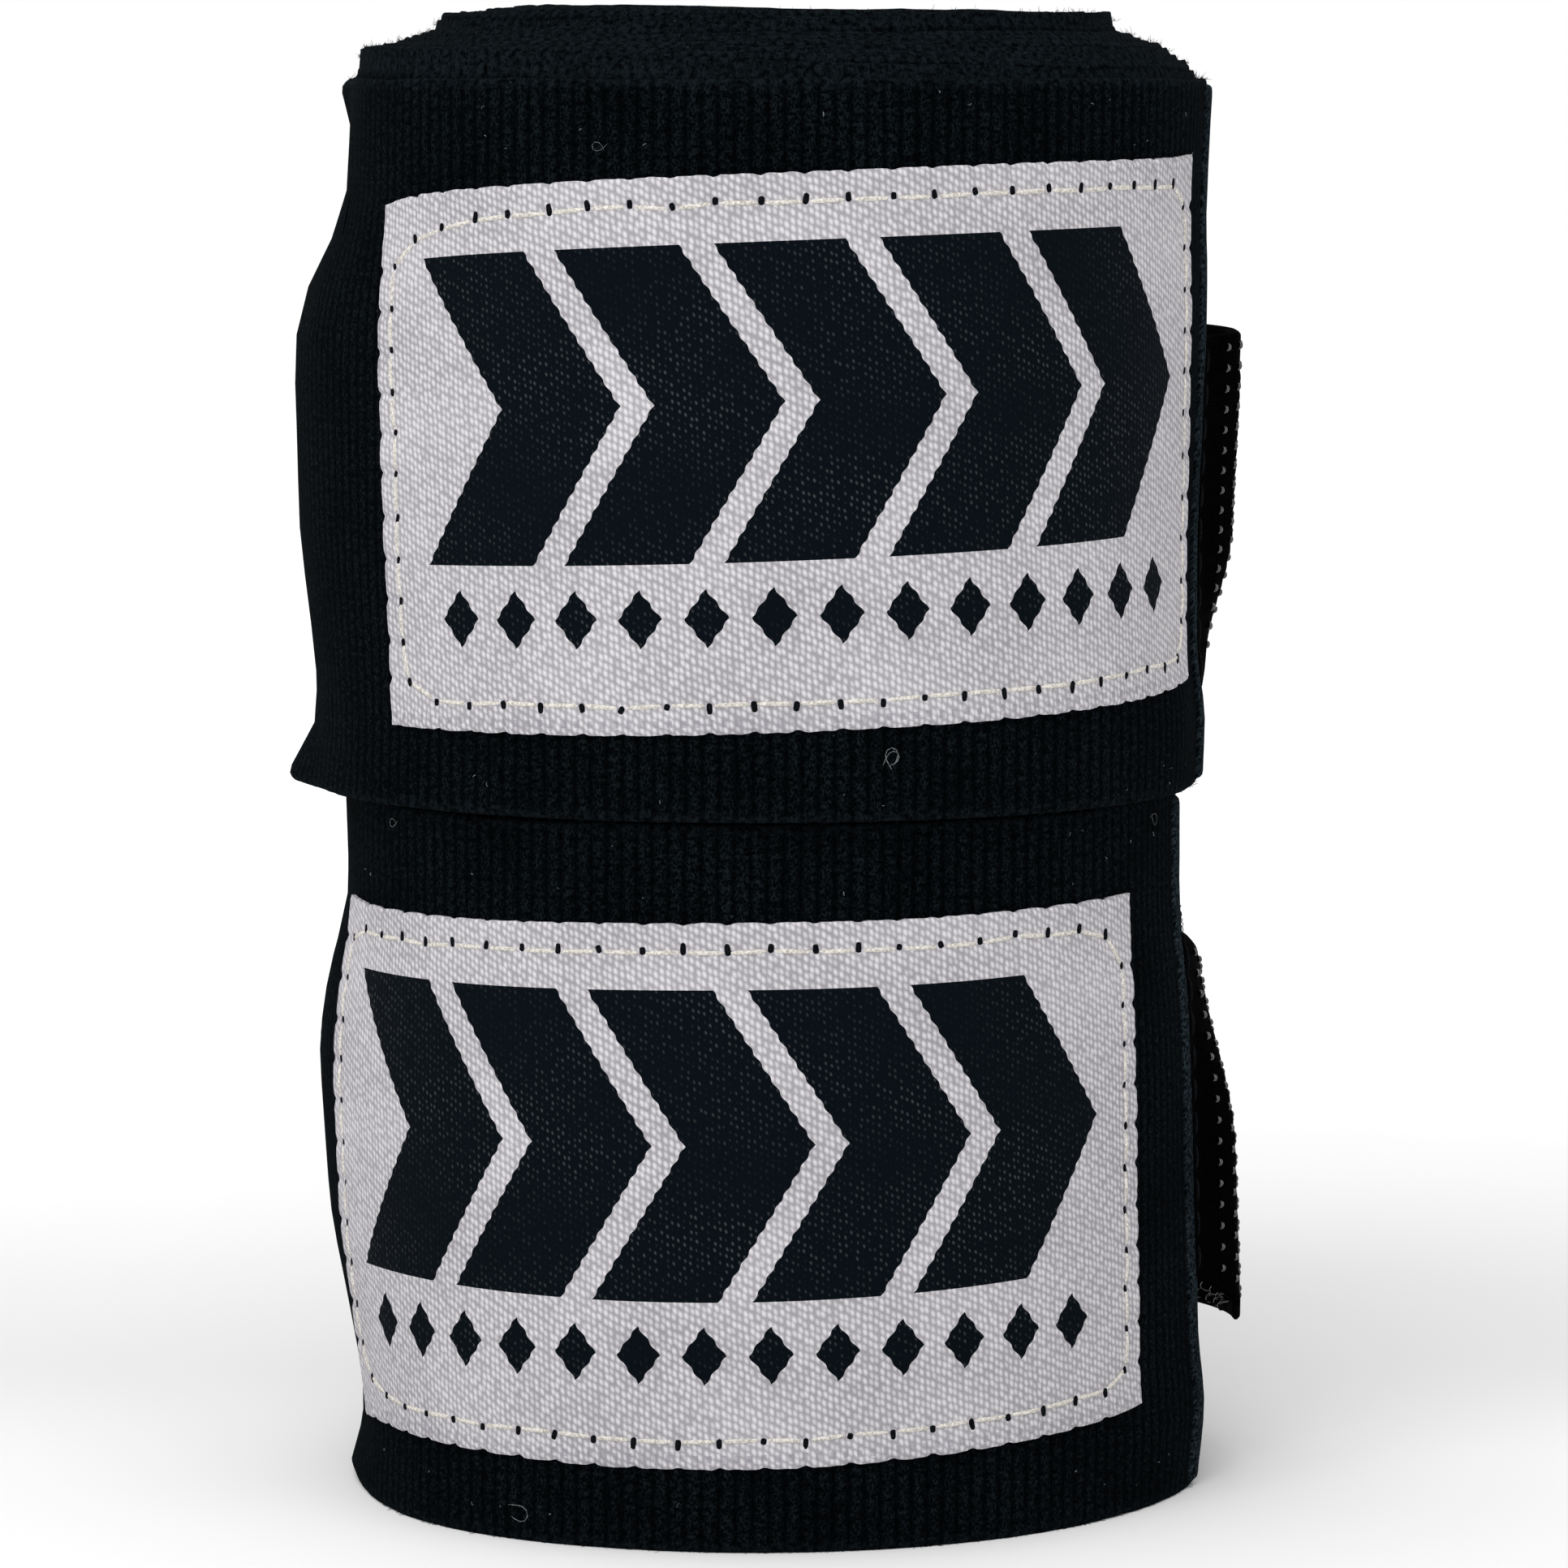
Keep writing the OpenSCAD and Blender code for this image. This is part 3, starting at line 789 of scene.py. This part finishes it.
def tab_tape(wrap, tab):
    """The tape itself, with a beaded upper end."""
    name, tall = wrap.name, wrap.tab_height
    u = np.linspace(TAB_ROOT, TAB_LENGTH, 90)[:, None]
    v = np.linspace(-0.5, 0.5, 126)[None, :] * tall
    edge = np.minimum(tall / 2 - np.abs(v), TAB_LENGTH - u)
    beaded = smooth((tall / 2 - 2.2 * MM - v) / (1.2 * MM)) * smooth((u - 2 * MM) / (2 * MM))
    bead = 0.13 * MM * np.abs(np.sin(math.pi * v / (1.4 * MM))) ** 0.8 * beaded
    half = TAPE_THICK / 2 * rounded(edge / (0.3 * MM), 0.9)
    front = tab.place(u, v, TAPE_THICK / 2 + half + bead)
    back = tab.place(u, v, TAPE_THICK / 2 - half + 0 * u)
    flat = np.stack(np.broadcast_arrays(u, v), axis=-1)
    tape = slab(f"{name}_hook_tab", front, back, flat, MATERIALS["tape"])
    start, end = (tab.place(np.array(d * MM), np.array(0.0), np.array(0.0)) for d in TAB_BEND)
    end[2] = start[2]
    tuple(start)
    tuple(end)
    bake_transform(tape)
    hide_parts(f"{name}_hook_tape")


def tab_hooks(wrap, tab):
    """Rows of bent hooks on the tape's inner face, and the small crowns of their feet on its outer one."""
    name, tall = wrap.name, wrap.tab_height
    columns = np.arange(1.5 * MM, TAB_LENGTH - 0.8 * MM, HOOK_PITCH)
    rows = np.arange(-tall / 2 + 1.2 * MM, tall / 2 - 1.0 * MM, HOOK_PITCH)
    inward = np.array((0.1, -0.3, -0.62, -0.86, -0.9, -0.78, -0.6)) * MM
    sideways = np.array((0, 0, 0.04, 0.17, 0.36, 0.5, 0.52)) * MM
    share = np.linspace(0, 1, len(inward))
    t = np.linspace(-1, 1, 5)
    hooks, crowns = [], []
    rng = np.random.default_rng(wrap.seed + 40)
    for i, cu in enumerate(columns):
        way = 1 if i % 2 else -1
        for cv in rows:
            lean = rng.normal(0, 0.12 * MM, 2)
            room = np.clip(tab.stand(np.array(cu), np.array(cv)) / MM, 0.3, 1)
            hooks.append(tab.place(cu + lean[0] * share, cv + way * sideways + lean[1] * share,
                                   inward * room))
            crowns.append(tab.place(cu + 0.05 * MM * t, cv + 0.25 * MM * t + 0.35 * MM,
                                    TAPE_THICK + 0.12 * MM - 0.16 * MM * t * t))
    field = tubes(f"{name}_hooks", hooks, 0.085 * MM, 6, MATERIALS["hooks"])
    crown = tubes(f"{name}_hook_crowns", crowns, 0.15 * MM, 8, MATERIALS["hooks"])
    for made in (field, crown):
        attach(made, f"{name}_tab")
    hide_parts(f"{name}_hook_field")


def tab_seam(wrap, tab):
    """The stitches that hold the tape's root to the hem."""
    name, tall = wrap.name, wrap.tab_height
    stitches = []
    t = np.linspace(0, 1, 7)
    arch = 0.12 * MM * np.sin(math.pi * t) ** 0.6 - 0.08 * MM
    for k in range(int(tall / SEAM_PITCH)):
        low = -tall / 2 + (k + 0.3) * SEAM_PITCH
        stitches.append(tab.place(TAB_BEND[0] * MM + 0 * t, low + 1.8 * MM * t, TAPE_THICK + arch))
    seam = tubes(f"{name}_tape_seam", stitches, 0.13 * MM, 8, MATERIALS["dark_thread"])
    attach(seam, f"{name}_tail")
    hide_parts(f"{name}_hook_tape_stitching")


def make_tab(wrap):
    """The hook tab: the tape, its hooks and the seam at its root."""
    tab = TabSheet(wrap)
    tab_tape(wrap, tab)
    tab_hooks(wrap, tab)
    tab_seam(wrap, tab)


def make_patch(wrap):
    """The loop patch under the tab: a thin backing with a pile of fine loops and a stitched border."""
    name = wrap.name
    low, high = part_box(f"{name}_loop_patch")
    start = wrap.tab_start + 3.5 * MM / wrap.radius
    length, tall = TAB_LENGTH + 2 * MM, high.z - low.z

    def place(u, v, out):
        turn = start + u / wrap.radius - TURN
        radius = wrap.middle(turn) + BAND_THICK / 2 + RIB_HEIGHT + out
        return wrap.place(radius, turn, low.z - wrap.foot + v)

    u = np.linspace(0, length, 60)[:, None]
    v = np.linspace(0, tall, 70)[None, :]
    edge = np.minimum(np.minimum(u, length - u), np.minimum(v, tall - v))
    thick = 0.3 * MM * rounded(edge / (0.3 * MM), 0.9)
    bumps = 0.07 * MM * ripple(wrap.seed + 50, u / (1.3 * MM), v / (1.3 * MM))
    front = place(u, v, thick + bumps * np.clip(edge / MM, 0, 1))
    flat = np.stack(np.broadcast_arrays(u, v), axis=-1)
    backing = slab(f"{name}_patch_backing", front, place(u, v, 0 * edge), flat, MATERIALS["pile"])
    pile = patch_pile(wrap, place, length, tall)
    border = rounded_path(length / 2 - MM, tall / 2 - MM, ((0.6, 0.6),) * 4, STITCH_PITCH)
    t = np.linspace(0, 1, 7)
    arch = 0.3 * MM + 0.2 * MM * np.sin(math.pi * t) ** 0.6
    seams = []
    for a, b in zip(border, np.roll(border, -1, axis=0)):
        at = a + (b - a) * (0.08 + 0.84 * t)[:, None]
        seams.append(place(length / 2 + at[:, 0], tall / 2 + at[:, 1], arch))
    stitches = tubes(f"{name}_patch_seam", seams, 0.13 * MM, 6, MATERIALS["dark_thread"])
    for made, slot in ((backing, "soft_loop_pile"), (pile, "soft_loop_pile"), (stitches, "dark_thread")):
        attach(made, f"{name}_roll")
    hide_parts(f"{name}_loop_patch")
    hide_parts(f"{name}_loop_patch_stitching")


def patch_pile(wrap, place, length, tall):
    """Fine loops scattered over the patch, each an arch standing in its own direction."""
    rng = np.random.default_rng(wrap.seed + 51)
    inset = 0.9 * MM
    t = np.linspace(0, math.pi, 6)
    loops = []
    for _ in range(PILE_LOOPS):
        cu, cv = rng.uniform(inset, length - inset), rng.uniform(inset, tall - inset)
        way, size, rise = rng.uniform(0, TURN), rng.uniform(0.2, 0.5) * MM, rng.uniform(0.2, 0.42) * MM
        along = size * np.cos(t)
        loops.append(place(cu + along * math.cos(way), cv + along * math.sin(way),
                           0.27 * MM + rise * np.sin(t)))
    return tubes(f"{wrap.name}_patch_pile", loops, 0.035 * MM, 4, MATERIALS["pile"])


# ---- thumb loop

def loop_tape(wrap, half_y, straight, thick):
    """A closed ring of narrow tape, pressed flat, that stands in the hole in the middle of the roll."""
    low, high = wrap.loop
    tall = high.z - low.z
    t = np.linspace(0, TURN, 97)[:-1]
    v = np.linspace(0, 1, 15)
    half = thick / 2 * rounded(np.minimum(v, 1 - v) * tall / (0.5 * MM), 0.9)
    wave = 0.3 * MM * ripple(wrap.seed + 60, t / TURN)[:, None]
    weave = 0.05 * MM * np.sin(t[:, None] * 40) * np.sin(v[None, :] * 60)

    def ring(out):
        r = half_y - thick / 2 + out
        x = wrap.axis.x + np.clip(np.cos(t) * 3, -1, 1)[:, None] * straight + r * np.cos(t)[:, None]
        y = wrap.axis.y + r * np.sin(t)[:, None]
        return np.stack(np.broadcast_arrays(x, y, low.z + v[None, :] * tall + wave), axis=-1)

    points = np.stack([ring(half[None, :] + weave), ring(-half[None, :])])
    n, m = len(t), len(v)
    index = np.arange(n * m).reshape(n, m)
    step = np.roll(index, -1, axis=0)
    outer = np.stack([index[:, :-1], step[:, :-1], step[:, 1:], index[:, 1:]], -1).reshape(-1, 4)
    top = np.stack([index[:, -1], step[:, -1], step[:, -1] + n * m, index[:, -1] + n * m], -1)
    bottom = np.stack([step[:, 0], index[:, 0], index[:, 0] + n * m, step[:, 0] + n * m], -1)
    faces = np.concatenate([outer, outer[:, ::-1] + n * m, top, bottom])
    cloth = np.zeros((2, n, m, 3))
    cloth[..., 0] = (t * (high.x - low.x) / 2)[:, None]
    cloth[..., 1] = v * tall
    return new_piece(f"{wrap.name}_thumb_loop_tape", points, faces.tolist(), MATERIALS["band"], cloth)


def loop_tack(wrap):
    """The bar of close stitches that holds the thumb loop to the first turn."""
    bars = []
    u = np.linspace(0, 1, 5)
    low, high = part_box(f"{wrap.name}_thumb_loop_bartack")
    for k in range(TACK_STITCHES):
        height = low.z + (k + 0.5) / TACK_STITCHES * (high.z - low.z)
        x = wrap.axis.x + 0.25 * MM * (-1) ** k * (2 * u - 1)
        y = low.y - 0.2 * MM + u * (high.y - low.y + 0.9 * MM)
        bars.append(np.stack([x, y, height + 0.3 * MM * u], axis=-1))
    return tubes(f"{wrap.name}_thumb_loop_tack", bars, 0.2 * MM, 8, MATERIALS["dark_thread"])


def make_thumb_loop(wrap):
    """The thumb loop and its bar of stitches, at the band's start in the middle of the roll."""
    name = wrap.name
    low, high = wrap.loop
    half_x, half_y = (high.x - low.x) / 2, (high.y - low.y) / 2
    thick, straight = 1.0 * MM, half_x - half_y
    loop = loop_tape(wrap, half_y, straight, thick)
    tack = loop_tack(wrap)
    for made, node, slot in ((loop, "thumb_loop", "loop_tape"), (tack, "thumb_loop_bartack", "dark_thread")):
        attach(made, f"{name}_roll")
        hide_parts(f"{name}_{node}")


# ---- lint

def make_lint(wrap):
    """A few pale fibres caught on the closing lap, as on any cotton that has been handled."""
    rng = np.random.default_rng(wrap.seed + 70)
    t = np.linspace(-1, 1, 10)
    fibres, radii = [], []
    for k in range(LINT_FIBRES):
        low = rng.random() < 0.5
        z = rng.uniform(0.8, 4.6) * MM if low else wrap.width - rng.uniform(0.8, 5.2) * MM
        turn = rng.uniform(wrap.hinge + 0.1, wrap.tail_end - 0.1)
        length, way, curl = rng.uniform(0.06, 0.2) * MM, rng.uniform(0, TURN), rng.uniform(-1.2, 1.2)
        long = k < LONG_FIBRES
        if long:
            length, curl = rng.uniform(1.2, 2.2) * MM, rng.uniform(1.5, 2.6)
        bend = way + curl * t + long * 0.7 * np.sin(3 * t)
        du, dz = (np.cumsum(step) * length / 5 for step in (np.cos(bend), np.sin(bend)))
        here = turn + (du - du.mean()) / wrap.radius
        height = np.clip(z + dz - dz.mean(), 0.3 * MM, wrap.width - 0.3 * MM)
        out = BAND_THICK / 2 + RIB_HEIGHT + 0.07 * MM * (1.3 - t * t)
        fibres.append(wrap.place(wrap.middle(here) + out, here, height))
        radii.append(rng.uniform(0.012, 0.03) * MM)
    piece = tubes(f"{wrap.name}_lint", fibres, radii, 5, MATERIALS["lint"])
    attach(piece, f"{wrap.name}_tail")


def fibres_off(wrap, name, body, turn, top, seed):
    """Fine curved fibres that stand off the band's upper or lower edge at these angles."""
    rng = np.random.default_rng(seed)
    count = len(turn)
    t = np.linspace(0, 1, 4)[None, :]
    drift = rng.normal(0, 0.16, (3, count, 1)) * MM
    curl = rng.normal(0, 0.14, (3, count, 1)) * MM
    rise = np.where(top, 1, -1)[:, None] * np.abs(rng.normal(0.12, 0.12, (count, 1))) * MM
    radius = wrap.middle(turn)[:, None] + rng.uniform(-0.25, 0.3, (count, 1)) * MM
    z = np.where(top, wrap.width + wrap.lift(turn) - 0.1 * MM, 0.1 * MM)[:, None]
    along = (drift[0] * t + curl[0] * t * t) / wrap.radius
    paths = wrap.place(radius + drift[1] * t + curl[1] * t * t, turn[:, None] + along,
                       np.maximum(z + rise * t + curl[2] * t * t, 0.03 * MM))
    piece = tubes(f"{wrap.name}_{name}", paths, rng.uniform(0.01, 0.02, count) * MM, 3, MATERIALS["fuzz"])
    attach(piece, f"{wrap.name}_{body}")


def make_fuzz(wrap):
    """Fibres along the closing lap's two edges, and along the upper edges of the turns inside it."""
    rng = np.random.default_rng(wrap.seed + 80)
    lap = rng.uniform(wrap.hinge + SEAM, wrap.tail_end, LAP_FUZZ)
    fibres_off(wrap, "lap_fuzz", "tail", lap, rng.random(LAP_FUZZ) < 0.6, wrap.seed + 81)
    inner = rng.uniform(wrap.hinge - FUZZY_TURNS * TURN, wrap.hinge - SEAM, TURN_FUZZ)
    fibres_off(wrap, "turn_fuzz", "roll", inner, np.ones(TURN_FUZZ, bool), wrap.seed + 82)


# ---- studio

def make_floor(scene):
    """A plain pale floor, four metres each way."""
    mesh = bpy.data.meshes.new("studio_floor")
    mesh.from_pydata([(-4, -4, 0), (4, -4, 0), (4, 4, 0), (-4, 4, 0)], [], [(0, 1, 2, 3)])
    mesh.materials.append(studio_floor())
    floor = bpy.data.objects.new("studio_floor", mesh)
    scene.collection.objects.link(floor)
    floor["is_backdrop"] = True


def make_light(scene, name, place, size, power):
    """A square soft light that points at the middle of the stack."""
    light = bpy.data.lights.new(name, "AREA")
    light.size, light.energy = size, power
    lamp = bpy.data.objects.new(name, light)
    lamp.location = place
    lamp.rotation_euler = (Vector((0, 0, 0.05)) - Vector(place)).to_track_quat("-Z", "Y").to_euler()
    scene.collection.objects.link(lamp)


def make_studio():
    """The floor, an even white surround, and two soft lights."""
    scene = bpy.context.scene
    scene.view_settings.view_transform = "Standard"
    make_floor(scene)
    world = bpy.data.worlds.new("studio")
    scene.world = world
    world.use_nodes = True
    background = world.node_tree.nodes["Background"].inputs
    background["Color"].default_value = (1, 1, 1, 1)
    background["Strength"].default_value = 1.0
    make_light(scene, "key", (-0.3, -0.85, 0.75), 0.9, 7.5)
    make_light(scene, "top", (-0.1, 0.1, 0.8), 0.4, 0.8)


def make_camera(upper):
    """Level with the top of the closing lap, close enough for the stack to fill the frame."""
    data = bpy.data.cameras.new("camera")
    data.lens, data.sensor_width = 164.3, 36
    data.clip_start = 0.01
    camera = bpy.data.objects.new("camera", data)
    away, down = 480 * MM, 5.63
    rim = upper.foot + upper.width
    camera.location = (upper.axis.x + 2.0 * MM, upper.axis.y - upper.radius - away, rim)
    camera.rotation_euler = (math.radians(90 - down), 0, 0)
    bpy.context.scene.collection.objects.link(camera)
    bpy.context.scene.camera = camera


WRAPS = [Wrap("lower"), Wrap("upper")]
make_studio()
make_camera(WRAPS[-1])
for wrap in WRAPS:
    make_band(wrap)
    make_hem(wrap)
    make_label(wrap)
    make_tab(wrap)
    make_patch(wrap)
    make_thumb_loop(wrap)
    make_lint(wrap)
    make_fuzz(wrap)

boxes = {"cad": CAD_BOX, "visual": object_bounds()}
sizes = {k: [[float(c) for c in corner] for corner in box] for k, box in boxes.items()}
